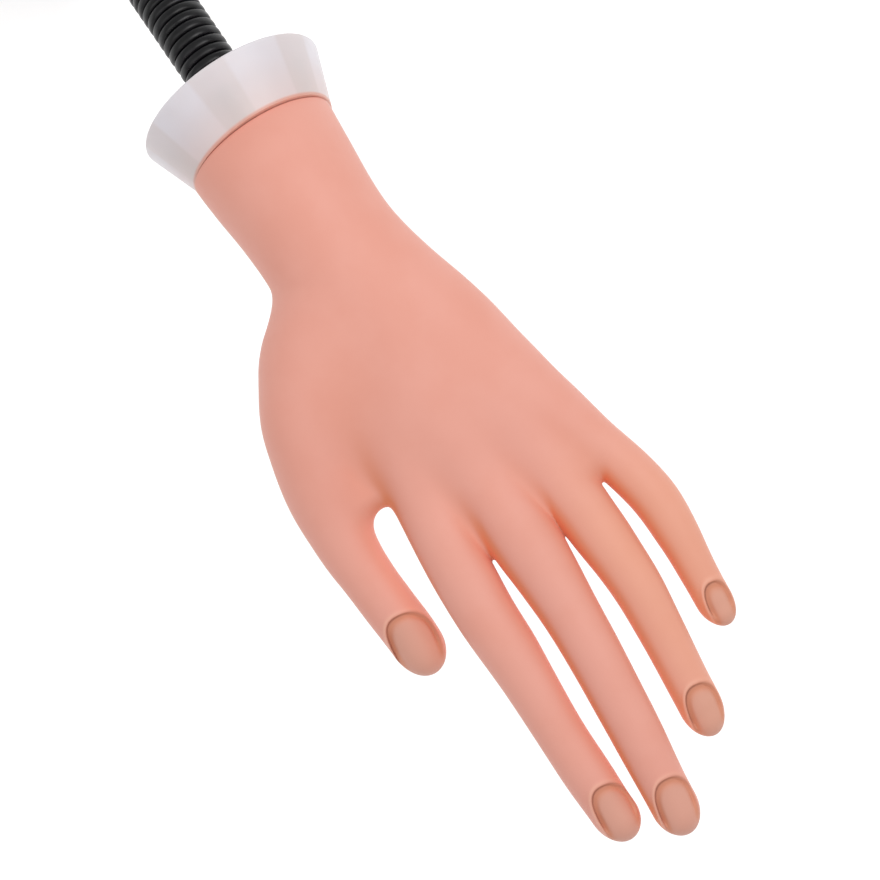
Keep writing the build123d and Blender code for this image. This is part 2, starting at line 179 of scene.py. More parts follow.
class Finger:
    """A digit's flesh and nail bed.

    y, z and r are knots of its centre line and its radius along X, and back and tip are its ends. nail is the
    bed's length, its width and how far it sits to the little finger's side.
    """

    def __init__(self, y, z, r, back, tip, cap, nail, back_cap=44):
        self.y, self.z, self.r = y, z, r
        self.back, self.tip, self.cap, self.back_cap = back, tip, cap, back_cap
        self.nail_length, self.nail_width, self.nail_skew = nail

    def field(self, x, y, z):
        """The digit's surface, with its nail bed sunk in."""
        r = curve(x, *self.r)
        y, z = y - curve(x, *self.y), z - curve(x, *self.z)
        d = tube(x, y, z, r, FINGER_FLATNESS * r, self.back, self.tip, self.back_cap, self.cap)
        return d + self.nail(x, y - self.nail_skew, z, r)

    def outline(self, x, y):
        """How far outside the nail bed's outline a point is, seen from above. y is from the bed's middle."""
        x = x - (self.tip - 0.5 * self.nail_length)
        x, y = x * cos(NAIL_TURN) - y * sin(NAIL_TURN), y * cos(NAIL_TURN) + x * sin(NAIL_TURN)
        half = self.nail_width / 2 * (1 - NAIL_TAPER * step(0, self.nail_length / 2, x))
        u = np.maximum(-x, 0) / (0.5 * self.nail_length)
        q = (u ** NAIL_SQUARENESS + np.abs(y / half) ** NAIL_SQUARENESS) ** (1 / NAIL_SQUARENESS)
        return (q - 1) * half

    def nail_fade(self, x):
        """1 at the cuticle, falling to 0 at the fingertip."""
        return 1 - step(self.tip - 0.5 * self.nail_length, self.tip - 1.5, x)

    def nail(self, x, y, z, r):
        """The nail bed: a recess that is steep at the cuticle and fades out at the tip."""
        out = self.outline(x, y)
        fade = self.nail_fade(x)
        beside = step(0.2, 0.9, 2 * y / self.nail_width)
        wall = NAIL_WALL + NAIL_WALL_TIP * (1 - fade) + NAIL_WALL_SIDE * beside
        inside = step(0, 1, -out / wall)
        gutter = GUTTER_DEPTH * band(out, -GUTTER_IN, GUTTER_WIDTH)
        lip = NAIL_LIP_HEIGHT * band(out, NAIL_LIP_OUT, NAIL_LIP_WIDTH)
        depth = fade * (NAIL_DEPTH * inside + gutter - lip)
        return depth * step(-0.1, 0.5, z / r)


FINGER_FLATNESS = 0.95
NAIL_DEPTH = 0.75
NAIL_TURN = radians(8)  # the nail beds lean to the little finger's side at the cuticle
NAIL_SQUARENESS = 2.7  # 2 would make the outline an ellipse
NAIL_TAPER = 0.12  # share of its width that a bed loses towards the fingertip
NAIL_WALL, NAIL_WALL_TIP, NAIL_WALL_SIDE = 0.35, 1.2, 0.9  # the wall's run, and what the tip and one side add
GUTTER_IN, GUTTER_WIDTH, GUTTER_DEPTH = 1.0, 0.6, 0.25  # the groove along the foot of the wall
NAIL_LIP_OUT, NAIL_LIP_WIDTH, NAIL_LIP_HEIGHT = 0.35, 0.45, 0.16  # the ridge along the top of the wall
DIGITS = {
    "index": Finger(
        y=((60, -8), (100, -12.2), (130, -14.3), (140, -14.5), (152, -14.05), (182, -13.85), (198, -13.2),
           (212, -12.5)),
        z=((100, 13.2), (128, 14), (158, 13.6), (186, 11.2), (212, 7.7)),
        r=((100, 8.7), (128, 8.6), (140, 8.25), (150, 7.95), (160, 7.35), (178, 6.7), (192, 6.7), (202, 6.4)),
        back=66, tip=212.2, cap=8.6, nail=(17.2, 10.9, 0.75)),
    "middle": Finger(
        y=((60, -1), (100, 2.8), (128, 4.9), (158, 5.15), (182, 4.0), (218, 2.0)),
        z=((100, 14.5), (128, 15), (162, 15), (192, 12.4), (218, 9)),
        r=((100, 9.6), (127, 9.7), (132, 9.45), (136, 9.1), (141, 8.7), (150, 8.05), (165, 7.6), (189, 7.1),
           (208, 6.5)),
        back=66, tip=219.0, cap=8.9, nail=(16.7, 11.0, 0.55)),
    "ring": Finger(
        y=((60, 7), (100, 17.6), (126, 22.1), (140, 23.5), (154, 24.3), (168, 23.7), (186, 22.5),
           (200, 21.9)),
        z=((100, 13.8), (128, 14), (154, 13.7), (176, 11.4), (200, 8.0)),
        r=((100, 9.2), (126, 8.4), (131, 8.1), (138, 7.85), (146, 7.35), (154, 7.0), (170, 6.35), (188, 6.0)),
        back=66, tip=199.9, cap=9.6, nail=(15.1, 9.8, 0.65)),
    "little": Finger(
        y=((60, 14), (90, 25), (112, 33.6), (126, 38.5), (136, 40.7), (148, 41.1), (160, 40.55), (170, 40.25),
           (177, 40.5)),
        z=((90, 12.2), (120, 11.8), (144, 11.2), (156, 9.9), (176, 7.2)),
        r=((90, 8.2), (120, 7.1), (134, 6.7), (146, 6.1), (156, 5.4), (166, 5.1)),
        back=60, tip=176.3, cap=8.3, nail=(12.8, 7.4, 1.0)),
    "thumb": Finger(
        y=((30, -7), (52, -19), (64, -25), (76, -29.4), (88, -33.9), (100, -36.5), (108, -37.0), (115, -36.6),
           (124, -35.8), (134, -34.8), (146, -34.5)),
        z=((30, 10), (64, 10), (88, 8), (108, 6), (121, 5.1), (146, 2)),
        r=((30, 8.9), (42, 12.6), (54, 14.3), (66, 14.8), (76, 13.9), (88, 11.4), (100, 8.9), (108, 7.95),
           (115, 7.45), (124, 7.35), (132, 7.3), (138, 7.15)),
        back=25, tip=146.4, cap=9.7, nail=(19, 13.2, -0.3), back_cap=30),
}
FINGERS = ("index", "middle", "ring", "little")


def wrist_and_palm(x, y, z):
    """The wrist and the flat of the hand, one oval tube that ends behind the knuckles."""
    slope = FOREARM_IN_HAND[2] / FOREARM_IN_HAND[0]
    low = curve(x, (-10, -22.6), (3, -21.9), (10, -21.1), (22, -19.4), (33, -18.6), (46, -19.3), (80, -19.5),
                (100, -18), (118, -18.4), (131, -20.5))
    high = curve(x, (-10, 21.4), (10, 20.8), (22, 20.3), (34, 20.1), (46, 23.2), (58, 26.8), (70, 29),
                 (82, 30.4), (94, 31.8), (106, 34.8), (118, 40), (127, 43.8))
    middle = curve(x, (-10, -10 * slope), (0, 0), (20, 7.1), (40, 11.6), (60, 13.2), (88, 13.2), (110, 12.8),
                   (130, 12.6))
    half = curve(x, (-10, 22.3), (0, 22.3), (16, 20.4), (38, 16.4), (60, 15), (84, 13.6), (98, 11.4),
                 (110, 8.2), (120, 6.2), (128, 5))
    front = curve(y, (-24, 127.5), (20, 127.8), (31, 124), (46, 121))
    return tube(x, y - (low + high) / 2, z - middle, (high - low) / 2, half, -60, front, 5, 6)


def hand_field(x, y, z):
    """The outer surface of the skin: the palm, its heel, the thumb with its web, and the fingers."""
    heel_y = y - curve(x, (40, 9), (70, 18), (90, 22.6), (110, 28.2))
    heel_z = z - curve(x, (40, 10), (110, 11))
    heel = tube(x, heel_y, heel_z, curve(x, (40, 10.5), (75, 11.5), (112, 9)),
                curve(x, (40, 11), (75, 12), (112, 8.5)), 24, 124, 26, 26)
    thumb_web = tube(x, y + 23.6, z - curve(x, (60, 10), (100, 9.5)), 5.5, 5.0, 50, 99.8, 20, 4)
    d = join(wrist_and_palm(x, y, z), heel, 8)
    thumb = join(DIGITS["thumb"].field(x, y, z), thumb_web, 8)
    d = join(d, thumb, curve(x, (32, 4), (46, 10), (60, 14), (90, 8), (98, 4), (104, 2)))
    web = curve(x, (80, 9), (104, 5), (116, 3), (124, 1.6), (130, 0.7))
    for name in FINGERS:
        d = join(d, DIGITS[name].field(x, y, z), web)
    return d


PLUG_NECK = ((-14, 15.5), (-4, 17.2), (0.2, 18.5))  # (along, radius) of the plug inside the skin
PLUG_ROOM_END = -16  # the hollow round the plug reaches this far into the wrist


def finger_hollow(x, y, z):
    """The inner surface of a finger's skin."""
    return hand_field(x, y, z) + WALL


def palm_hollow(x, y, z):
    """The inner surface of the palm's skin, with room for the plug at the wrist."""
    along = -(x * FOREARM_IN_HAND[0] + y * FOREARM_IN_HAND[1] + z * FOREARM_IN_HAND[2])
    around = np.sqrt(np.maximum(x * x + y * y + z * z - along * along, 0))
    radius = np.interp(along, *np.array(PLUG_NECK).T) + PLUG_PLAY
    plug = np.maximum(around - radius, PLUG_ROOM_END - along)
    return np.minimum(hand_field(x, y, z) + PALM_WALL, plug)


# ---------------------------------------------------------------- surfaces from the field

def gradient(field, points, reach=0.03):
    """The field's slope at each point, by central differences."""
    parts = []
    for axis in np.eye(3) * reach:
        parts.append((field(*(points + axis).T) - field(*(points - axis).T)) / (2 * reach))
    return np.array(parts).T


def surface(field, low, high, cell):
    """Points and quads of the field's zero surface inside a box, open where the box cuts it."""
    low, high = np.array(low, dtype=float), np.array(high, dtype=float)
    axes = [np.arange(a, b + cell, cell).astype(np.float32) for a, b in zip(low, high)]
    values = field(axes[0][:, None, None], axes[1][None, :, None], axes[2][None, None, :])
    grid = openvdb.FloatGrid(float(4 * cell))
    grid.copyFromArray(np.ascontiguousarray(values, dtype=np.float32))
    points, quads = grid.convertToQuads(0.0)
    points = points.astype(float) * cell + low
    edge = np.array([axis[-1] for axis in axes])
    whole = ((points > low + 0.9 * cell) & (points < edge - 0.9 * cell)).all(axis=1)
    quads = quads[whole[quads].all(axis=1)]
    for _ in range(4):
        slope = gradient(field, points)
        move = field(*points.T)[:, None] * slope / np.maximum((slope ** 2).sum(axis=1), 0.2)[:, None]
        points -= np.clip(move, -0.6 * cell, 0.6 * cell)
    used = np.unique(quads)
    index = np.zeros(len(points), dtype=int)
    index[used] = np.arange(len(used))
    points, quads = points[used], index[quads]
    corners = points[quads]
    facing = np.cross(corners[:, 2] - corners[:, 0], corners[:, 3] - corners[:, 1])
    if (facing * gradient(field, corners.mean(axis=1))).sum() < 0:
        quads = quads[:, ::-1]
    return points, quads


def nearest_digit(points):
    """Index in DIGITS of the digit each point is nearest to."""
    return np.argmin([digit.field(*points.T) for digit in DIGITS.values()], axis=0)


def only_digit(points, quads, name):
    """The quads that belong to one digit."""
    mine = nearest_digit(points) == list(DIGITS).index(name)
    return points, quads[mine[quads].all(axis=1)]


# ---------------------------------------------------------------- closed skin pieces

OUTER, INNER, RIM = 0, 1, 2
LIP = 0.4  # radius of the rounded edge of the wrist opening
LIP_STEPS = 4
OCCLUSION_REACHES = (1.5, 4.0, 9.0, 16.0)


def add_surface(mesh, kinds, points, quads, kind):
    """Adds a surface's quads to the mesh, each marked as outer or inner."""
    verts = [mesh.verts.new(p) for p in points]
    for quad in quads:
        face = mesh.faces.new([verts[i] for i in quad])
        face[kinds] = kind
    for vert in [v for v in verts if not v.link_faces]:
        mesh.verts.remove(vert)


def cut(mesh, faces, origin, normal):
    """Cuts the faces with a plane, removes what lies beyond it and returns the edges left on it."""
    verts = {v for f in faces for v in f.verts}
    edges = {e for f in faces for e in f.edges}
    result = bmesh.ops.bisect_plane(mesh, geom=[*verts, *edges, *faces], plane_co=origin, plane_no=normal,
                                    dist=1e-4)
    on_plane = {g for g in result["geom_cut"] if isinstance(g, bmesh.types.BMVert)}
    touched = {v for v in verts if v.is_valid} | on_plane
    origin, normal = Vector(origin), Vector(normal)
    beyond = [v for v in touched if (v.co - origin).dot(normal) > 2e-4 and v not in on_plane]
    bmesh.ops.delete(mesh, geom=beyond, context="VERTS")
    return [e for e in mesh.edges if e.is_boundary and e.verts[0] in on_plane and e.verts[1] in on_plane]


def fill(mesh, kinds, edges, normal):
    """Closes the ring between an outer and an inner edge loop."""
    made = bmesh.ops.triangle_fill(mesh, edges=edges, normal=normal, use_beauty=True)["geom"]
    for face in [g for g in made if isinstance(g, bmesh.types.BMFace)]:
        face[kinds] = RIM
        if face.normal.dot(Vector(normal)) < 0:
            face.normal_flip()


def round_lip(mesh, kinds, edges):
    """Rolls the wrist's outer edge over a quarter circle, out along the forearm and in towards its axis."""
    out = -Vector(FOREARM_IN_HAND)
    for i in range(LIP_STEPS):
        made = bmesh.ops.extrude_edge_only(mesh, edges=edges)["geom"]
        a, b = (pi / 2 * (i + k) / LIP_STEPS for k in (0, 1))
        for vert in [g for g in made if isinstance(g, bmesh.types.BMVert)]:
            axial = out * vert.co.dot(out)
            inward = (axial - vert.co).normalized()
            vert.co += out * LIP * (sin(b) - sin(a)) + inward * LIP * (cos(a) - cos(b))
        for face in [g for g in made if isinstance(g, bmesh.types.BMFace)]:
            face[kinds] = RIM
            if face.normal.dot(face.calc_center_median() - out * face.calc_center_median().dot(out)) < 0:
                face.normal_flip()
        edges = [g for g in made if isinstance(g, bmesh.types.BMEdge) and g.is_boundary]
    return edges


def occlusion(field, points, normals):
    """How enclosed each point of the surface is, from 0 in the open to 1."""
    shares = []
    for reach in OCCLUSION_REACHES:
        free = field(*(points + normals * reach).T)
        shares.append(np.clip(1 - free / reach, 0, 1))
    return np.mean(shares, axis=0)


def add_marks(data, marks):
    """Stores named values for each vertex of a mesh, for its material to read."""
    for label, values in marks.items():
        layer = data.attributes.new(label, "FLOAT", "POINT")
        layer.data.foreach_set("value", values.astype(np.float32))


def skin_marks(points, slope, digit):
    """What the skin's material reads at each point: how enclosed it is, its tints (the peach tone, and where
    shade, glow and a highlight are painted) and its nail bed.
    """
    x, y, z = points.T
    nearest, second = np.sort([d.field(x, y, z) for d in DIGITS.values()], axis=0)[:2]
    marks = {
        "enclosed": occlusion(hand_field, points, slope),
        "facing_up": slope[:, 2],
        "peach": step(100, 145, x) * step(4, 30, y),
        # Where two digits come close behind the knuckles; the material paints shade in these valleys.
        "valley_shade": (1 - step(0, 6, second - nearest)) * step(90, 116, x),
    }
    marks |= {name: np.zeros(len(points)) for name in ("nail", "nail_wall_shade", "nail_shadow_line", "nail_lip_highlight")}
    if digit:
        side = y - curve(x, *digit.y) - digit.nail_skew
        out = digit.outline(x, side)
        up = step(0, 1, z - curve(x, *digit.z))
        # cuticle is stronger on the bed's -y side and weaker on its +y side; the painted shadow line and
        # painted lip highlight below are drawn with it.
        cuticle = 0.3 + 0.7 * step(0.9, -0.5, 2 * side / digit.nail_width)
        marks["nail"] = step(0, 0.5, -out) * up
        # A band just inside the bed's wall, where the material paints orange shade.
        marks["nail_wall_shade"] = band(out, -0.8, 0.8) * up * digit.nail_fade(x - 4)
        # A thin line at the bed's edge, where the material paints a dark shadow line.
        marks["nail_shadow_line"] = band(out, -0.2, 0.2) * up * digit.nail_fade(x + 1) * cuticle
        # The ridge along the top of the wall, where the material paints a highlight.
        marks["nail_lip_highlight"] = band(out, NAIL_LIP_OUT, 0.3) * up * digit.nail_fade(x - 1) * cuticle
    return marks


def finish_skin(mesh, name, digit=None):
    """Turns a closed skin mesh into an object with smooth normals and the marks its material reads."""
    data = bpy.data.meshes.new(name)
    bmesh.ops.recalc_face_normals(mesh, faces=mesh.faces[:])
    mesh.to_mesh(data)
    mesh.free()
    points = np.empty(len(data.vertices) * 3)
    data.vertices.foreach_get("co", points)
    points = points.reshape(-1, 3)
    kind = np.empty(len(data.polygons), dtype=np.int32)
    data.attributes["kind"].data.foreach_get("value", kind)
    flat = np.empty(len(data.polygons) * 3)
    data.polygons.foreach_get("normal", flat)
    flat = flat.reshape(-1, 3)
    corner = np.empty(len(data.loops), dtype=np.int32)
    data.loops.foreach_get("vertex_index", corner)
    sizes = np.empty(len(data.polygons), dtype=np.int32)
    data.polygons.foreach_get("loop_total", sizes)
    face_of = np.repeat(np.arange(len(data.polygons)), sizes)

    slope = gradient(hand_field, points)
    slope /= np.linalg.norm(slope, axis=1)[:, None]
    add_marks(data, skin_marks(points, slope, digit))

    data.vertices.foreach_set("co", to_row(points).astype(np.float32).ravel())
    smooth = (slope @ TO_ROW.T)[corner]
    plain = (flat @ TO_ROW.T)[face_of]
    outer = (kind[face_of] == OUTER)[:, None]
    data.polygons.foreach_set("use_smooth", np.ones(len(data.polygons), dtype=bool))
    data.update()
    data.normals_split_custom_set(np.where(outer, smooth, plain).tolist())
    data.attributes.remove(data.attributes["kind"])
    piece = bpy.data.objects.new(name, data)
    bpy.context.collection.objects.link(piece)
    return piece


def new_skin_mesh():
    """An empty mesh, and the layer that holds each face's kind."""
    mesh = bmesh.new()
    return mesh, mesh.faces.layers.int.new("kind")


# ---------------------------------------------------------------- where the skin bends and is divided

BEND_REACH = {"knuckle": 1.85, "middle": 1.9, "root": 1.55, "tip": 1.9}  # bend zone over the flesh's radius
ROOT_START = {  # x of the first cut, just ahead of the webs
    "index": 131.4, "middle": 134.6, "ring": 134.4, "little": 127.6, "thumb": 103.2}
BENDS = {name: ("knuckle", "middle", "tip") for name in FINGERS} | {"thumb": ("root", "tip")}
PARENTS = {name: ("hand", f"{name}_proximal", f"{name}_middle", f"{name}_tip") for name in FINGERS}
PARENTS["thumb"] = ("hand", "thumb_proximal", "thumb_tip")


def bend_zones(name):
    """(start, end) of each bend zone of a digit, and the digit's direction, in the hand frame."""
    hinges = [to_hand(joint_point(f"{name}_{bend}_bend")) for bend in BENDS[name]]
    direction = hinges[-1] - hinges[0]
    direction /= np.linalg.norm(direction)
    zones = []
    for bend, hinge in zip(BENDS[name], hinges):
        half = BEND_REACH[bend] / 2 * float(curve(hinge[0], *DIGITS[name].r))
        behind = half if zones else (hinge[0] - ROOT_START[name]) / direction[0]
        zones.append((hinge - direction * behind, hinge + direction * half))
    return zones, direction


def cut_points(zones):
    """Where a digit's skin is divided: at the first zone's start, then midway between zones."""
    points = [zones[0][0]]
    for (_, end), (start, _) in zip(zones, zones[1:]):
        points.append((end + start) / 2)
    return points


TIP_CELL, FINGER_CELL, PALM_CELL, INNER_CELL, PALM_INNER_CELL = 0.25, 0.5, 0.7, 0.9, 1.2
PALM_BOX = ((-10, -49, -26), (139, 50, 32))
PAST_CUT = 2  # how far a surface is made past the plane that cuts it
PAST_TIP = 1.5
PAST_SIDE = 1.6


def digit_skin(name):
    """The skin pieces of one digit, each covering the bend zone round one hinge."""
    digit = DIGITS[name]
    zones, direction = bend_zones(name)
    cuts = cut_points(zones)
    pieces = []
    for i, zone in enumerate(zones):
        last = i == len(zones) - 1
        first_x = cuts[i][0] - PAST_CUT
        last_x = digit.tip + PAST_TIP if last else cuts[i + 1][0] + PAST_CUT
        xs = np.linspace(first_x, last_x, 9)
        ys, zs, rs = curve(xs, *digit.y), curve(xs, *digit.z), curve(xs, *digit.r) + PAST_SIDE
        low = (first_x, (ys - rs).min(), (zs - rs).min())
        high = (last_x, (ys + rs).max(), (zs + rs).max())
        mesh, kinds = new_skin_mesh()
        points, quads = only_digit(*surface(hand_field, low, high, TIP_CELL if last else FINGER_CELL), name)
        add_surface(mesh, kinds, points, quads, OUTER)
        points, quads = only_digit(*surface(finger_hollow, low, high, INNER_CELL), name)
        add_surface(mesh, kinds, points, quads[:, ::-1], INNER)
        ends = [(cuts[i], -direction)]
        if not last:
            ends.append((cuts[i + 1], direction))
        for origin, normal in ends:
            fill(mesh, kinds, cut(mesh, mesh.faces[:], origin, normal), normal)
        piece = finish_skin(mesh, f"{name}_{BENDS[name][i]}_skin", digit if last else None)
        before, after = PARENTS[name][i:i + 2]
        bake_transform(piece)
        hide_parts(f"{after}_flesh")
        pieces.append(piece)
    return pieces


def palm_skin():
    """The wrist and palm up to the roots of the digits."""
    mesh, kinds = new_skin_mesh()
    points, quads = surface(hand_field, *PALM_BOX, PALM_CELL)
    add_surface(mesh, kinds, points, quads, OUTER)
    points, quads = surface(palm_hollow, *PALM_BOX, PALM_INNER_CELL)
    add_surface(mesh, kinds, points, quads[:, ::-1], INNER)
    out = tuple(-FOREARM_IN_HAND)
    outside = cut(mesh, [f for f in mesh.faces if f[kinds] == OUTER], tuple(FOREARM_IN_HAND * LIP), out)
    inside = cut(mesh, [f for f in mesh.faces if f[kinds] == INNER], (0, 0, 0), out)
    fill(mesh, kinds, round_lip(mesh, kinds, outside) + inside, out)
    for number, name in enumerate(DIGITS):
        zones, direction = bend_zones(name)
        origin = cut_points(zones)[0]
        centres = np.array([f.calc_center_median() for f in mesh.faces])
        mine = (nearest_digit(centres) == number) & ((centres - origin) @ direction > -PAST_CUT)
        faces = [f for f, chosen in zip(mesh.faces, mine) if chosen]
        fill(mesh, kinds, cut(mesh, faces, origin, direction), direction)
    piece = finish_skin(mesh, "palm_skin")
    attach(piece, "hand")
    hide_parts("palm_flesh")
    return piece


# ---------------------------------------------------------------- turned and swept pieces, in the row frame

def new_piece(name, mesh):
    """Turns a mesh in metres into an object of the scene."""
    data = bpy.data.meshes.new(name)
    bmesh.ops.recalc_face_normals(mesh, faces=mesh.faces[:])
    mesh.to_mesh(data)
    mesh.free()
    piece = bpy.data.objects.new(name, data)
    bpy.context.collection.objects.link(piece)
    return piece


def shade(piece, angle=35):
    """Smooth shading with edges sharper than the angle kept crisp."""
    piece.data.polygons.foreach_set("use_smooth", np.ones(len(piece.data.polygons), dtype=bool))
    piece.data.set_sharp_from_angle(angle=radians(angle))


def ring(mesh, centre, side, up, radius, count):
    """A circle of vertices round a centre point, millimetres in, metres out."""
    verts = []
    for k in range(count):
        a = 2 * pi * k / count
        verts.append(mesh.verts.new(centre + (side * cos(a) + up * sin(a)) * radius * MM))
    return verts


def skin_rings(mesh, rings, closed=True):
    """Faces between neighbouring rings of vertices; closed joins the last ring to the first."""
    pairs = list(zip(rings, rings[1:])) + ([(rings[-1], rings[0])] if closed else [])
    for one, two in pairs:
        for k in range(len(one)):
            j = (k + 1) % len(one)
            mesh.faces.new((one[k], one[j], two[j], two[k]))


def cap_ends(mesh, rings):
    """Closes the first and the last ring."""
    for end in (rings[0], rings[-1]):
        mesh.faces.new(end)


def arc(centre, radius, start, end, steps):
    """Points (r, z) of an arc, angles in degrees."""
    angles = [radians(start + (end - start) * i / steps) for i in range(steps + 1)]
    return [(centre[0] + radius * cos(a), centre[1] + radius * sin(a)) for a in angles]


def turn(mesh, profile, origin, axis, count):
    """Adds a closed profile of (radius, along) millimetres turned about an axis through origin."""
    axis = Vector(axis).normalized()
    side = axis.orthogonal().normalized()
    up = axis.cross(side)
    rings = [ring(mesh, Vector(origin) + axis * z * MM, side, up, r, count) for r, z in profile]
    skin_rings(mesh, rings)


# ---------------------------------------------------------------- clamping screw

THREAD_PITCH, THREAD_DEPTH = 1.5, 0.65
THREAD_RINGS = 8  # rings of vertices in one pitch
THREAD_FLAT = 1.25  # above 1, the thread's roots are flat
SCREW_SHAFT_R, SCREW_NOSE_R = 4.95, 4.0
SCREW_HEAD_TALL, SCREW_NOSE_TALL = 11.0, 4.8
SCREW_CHAMFER, NOSE_CHAMFER = 0.8, 0.4
SHOULDER_STEP = 0.5
THREAD_GAP = 1  # plain shaft before and after the thread
SCREW_SIDES, BAR_HOLE_SIDES = 64, 48
BAR_PLAY = 0.2
PAST_HEAD = 2  # how far the bar's hole is cut past the head's sides
POLE_R = 0.01  # radius of the smallest ring, at an end's centre


def bored(piece, cutter):
    """Takes the cutter's volume out of the piece and deletes the cutter."""
    modifier = piece.modifiers.new("bore", "BOOLEAN")
    modifier.object = cutter
    modifier.solver = "EXACT"
    evaluated = piece.evaluated_get(bpy.context.evaluated_depsgraph_get())
    piece.data = bpy.data.meshes.new_from_object(evaluated)
    piece.modifiers.clear()
    bpy.data.objects.remove(cutter)


def bar_hole(middle, x, y, z, reach):
    """A cylinder along Y, a little wider than the handle bar and at its height."""
    low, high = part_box("tommy_bar")
    radius = (high.z - low.z) / 2 / MM + BAR_PLAY
    centre = middle + z * (low.z + high.z) / 2
    mesh = bmesh.new()
    ends = [ring(mesh, centre + y * side * reach * MM, x, z, radius, BAR_HOLE_SIDES) for side in (-1, 1)]
    skin_rings(mesh, ends, closed=False)
    cap_ends(mesh, ends)
    return new_piece("bar_hole", mesh)


def clamp_screw():
    """A head with a cross hole for the bar, a threaded shaft, and a nose that turns in the swivel pad."""
    low, high = (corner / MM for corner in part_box("clamp_screw"))
    head_r = (high.x - low.x) / 2
    head_top, shoulder = low.z + SCREW_HEAD_TALL, high.z - SCREW_NOSE_TALL
    first, last = head_top + THREAD_GAP, shoulder - THREAD_GAP

    def radius(height, angle):
        flank = abs(2 * ((height / THREAD_PITCH - angle / (2 * pi)) % 1) - 1)
        cut = THREAD_DEPTH * min(1.0, THREAD_FLAT * flank)
        return SCREW_SHAFT_R - cut * min(1.0, (height - first) / THREAD_PITCH, (last - height) / THREAD_PITCH)

    head = [(POLE_R, low.z), (head_r - SCREW_CHAMFER, low.z), (head_r, low.z + SCREW_CHAMFER),
            (head_r, head_top - SCREW_CHAMFER), (head_r - SCREW_CHAMFER, head_top), (SCREW_SHAFT_R, head_top)]
    nose = [(SCREW_SHAFT_R - SHOULDER_STEP, shoulder), (SCREW_NOSE_R, shoulder),
            (SCREW_NOSE_R, high.z - NOSE_CHAMFER), (SCREW_NOSE_R - NOSE_CHAMFER, high.z), (POLE_R, high.z)]
    mesh = bmesh.new()
    middle = Vector(((low.x + high.x) / 2, (low.y + high.y) / 2, 0)) * MM
    x, y, z = (Vector(axis) for axis in ((1, 0, 0), (0, 1, 0), (0, 0, 1)))
    rings = [ring(mesh, middle + z * height * MM, x, y, r, SCREW_SIDES) for r, height in head]
    for height in np.arange(first, last, THREAD_PITCH / THREAD_RINGS):
        lap = []
        for k in range(SCREW_SIDES):
            a = 2 * pi * k / SCREW_SIDES
            outward = x * cos(a) + y * sin(a)
            lap.append(mesh.verts.new(middle + z * height * MM + outward * radius(height, a) * MM))
        rings.append(lap)
    rings += [ring(mesh, middle + z * height * MM, x, y, r, SCREW_SIDES) for r, height in nose]
    skin_rings(mesh, rings, closed=False)
    cap_ends(mesh, rings)
    piece = new_piece("clamp_screw_threaded", mesh)
    bored(piece, bar_hole(middle, x, y, z, head_r + PAST_HEAD))
    shade(piece, 40)
    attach(piece, "screw")
    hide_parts("clamp_screw")
    piece.data.materials.clear()
    piece.data.materials.append(MATERIALS["steel"])


# ---------------------------------------------------------------- neck: a corrugated hose on a curve

NECK_JOINTS = ("neck_pitch_1", "neck_sway_1", "neck_pitch_2", "neck_sway_2")
HOSE_CREST, HOSE_GROOVE, HOSE_BORE = 8.0, 6.7, 5.9
RIB_PITCH = 2.95
HOSE_SIDES = 72
RINGS_PER_RIB = 12
BEND_STEPS = 40  # points along the curve round each joint
STRAIGHT_STEPS = 20  # points along the straight run at each end
HOSE_IN_PLUG = 11.5
PLUG_RIM_S = 17.4  # from the skin's edge out to the rim, along the forearm axis


def neck_path():
    """The neck's centre line from the ferrule's floor into the plug, as points, their distances along it in
    millimetres, and the points where the hose's pieces meet."""
    joints = [Vector(joint_point(name)) for name in NECK_JOINTS]
    rim = Vector(WRIST) - Vector(FOREARM) * PLUG_RIM_S * MM
    floor = Vector((0, 0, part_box("neck_hose_1")[0].z))
    end = rim + Vector(FOREARM) * HOSE_IN_PLUG * MM
    middles = [(a + b) / 2 for a, b in zip(joints, joints[1:])]
    middles.append(joints[-1] + (rim - joints[-1]) / 2)
    first = joints[0] - Vector((0, 0, (joints[1] - joints[0]).length / 2))
    corners = [first] + middles
    dense = [floor + (first - floor) * i / STRAIGHT_STEPS for i in range(STRAIGHT_STEPS)]
    for start, bend, stop in zip(corners, joints, corners[1:]):
        for i in range(BEND_STEPS):
            t = i / BEND_STEPS
            dense.append(start * (1 - t) ** 2 + bend * 2 * t * (1 - t) + stop * t * t)
    dense += [corners[-1] + (end - corners[-1]) * i / STRAIGHT_STEPS for i in range(STRAIGHT_STEPS + 1)]
    line = np.array([tuple(p) for p in dense])
    lengths = np.r_[0, np.cumsum(np.linalg.norm(np.diff(line, axis=0), axis=1))] / MM
    return line, lengths, [np.array(tuple(p)) for p in corners[1:-1]]


def point_at(s, lengths, line):
    """The point of a line at a distance along it in millimetres; its ends stand for what lies beyond them."""
    return Vector([np.interp(s, lengths, line[:, k]) for k in range(3)])


def rib_radius(s):
    """Radius of the corrugated hose at a distance along it: round ridges and narrow grooves."""
    t = 2 * (s / RIB_PITCH % 1) - 1
    return HOSE_GROOVE + (HOSE_CREST - HOSE_GROOVE) * (1 - abs(t) ** 3.2) ** 0.55


